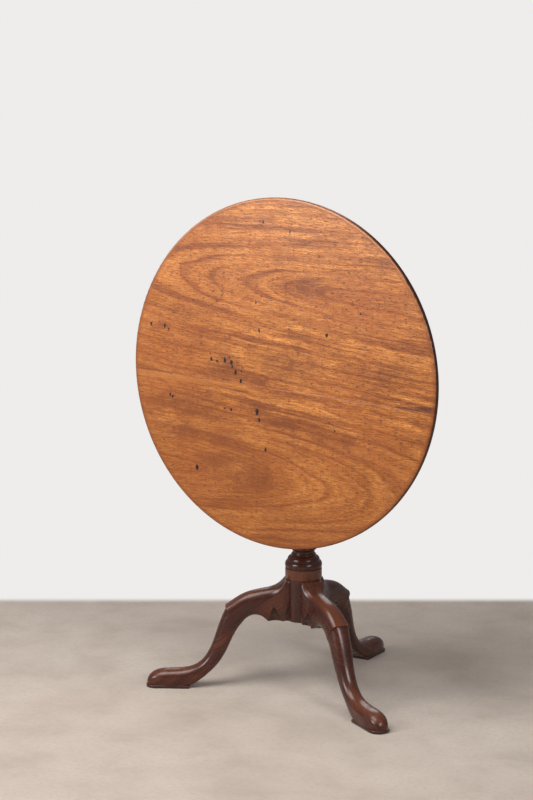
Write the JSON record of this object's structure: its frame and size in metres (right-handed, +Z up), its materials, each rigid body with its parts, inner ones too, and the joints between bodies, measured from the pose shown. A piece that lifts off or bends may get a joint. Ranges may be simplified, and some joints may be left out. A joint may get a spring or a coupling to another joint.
{
  "type": "tilt top table",
  "caption": "Round tilt-top tripod table with a two-board top, turned column, carved cabriole legs on pad feet and a brass spring catch, stored with the top upright.",
  "frame": {"origin": "on the floor, at the middle of the stored table's outline, with the top tilted upright; the column's axis is 88 mm in front of it", "axes": "+Z up; -Y is the way the polished face of the upright top looks; the back leg points to +Y; +X to the viewer's right"},
  "size_m": [0.812, 0.5792, 1.179],
  "materials": {
    "top_mahogany": "waxed golden-brown mahogany with ink spots and wear",
    "base_mahogany": "dark red-brown mahogany, waxed to a gloss",
    "bearer_mahogany": "dry oxidised mahogany, planed, no polish",
    "brass": "aged satin brass",
    "wrought_iron": "blackened with rust bloom",
    "steel": "dull tarnished steel",
    "spring_steel": "drawn spring wire"
  },
  "bodies": {
    "pedestal": {"column": "base_mahogany", "leg_left": "base_mahogany", "leg_right": "base_mahogany", "leg_back": "base_mahogany", "pivot_block": "base_mahogany", "tenon_wedge": "base_mahogany", "brace_plate": "wrought_iron", "brace_nails": "wrought_iron", "strike_plate": "brass", "strike_screws": "brass"},
    "tabletop": {"top_board_wide": "top_mahogany", "top_board_narrow": "top_mahogany", "bearer_left": "bearer_mahogany", "bearer_right": "bearer_mahogany", "bearer_screws_left": "steel", "bearer_screws_right": "steel", "catch_plate": "brass", "catch_case": "brass", "catch_screws": "brass", "catch_spring": "spring_steel"},
    "bolt": {"catch_bolt": "brass", "catch_knob": "brass"}
  },
  "joints": [
    {"name": "top_tilt", "type": "hinge", "parent": "pedestal", "child": "tabletop", "pos_m": [0, -0.16837, 0.693], "axis": [-1, 0, 0], "range_deg": [0, 90]},
    {"name": "catch_slide", "type": "slide", "parent": "tabletop", "child": "bolt", "axis": [0, 0, 1], "range_m": [0, 0.01], "stiffness_N_per_m": 400, "springref_m": -0.005, "deforming": ["catch_spring"]}
  ]
}
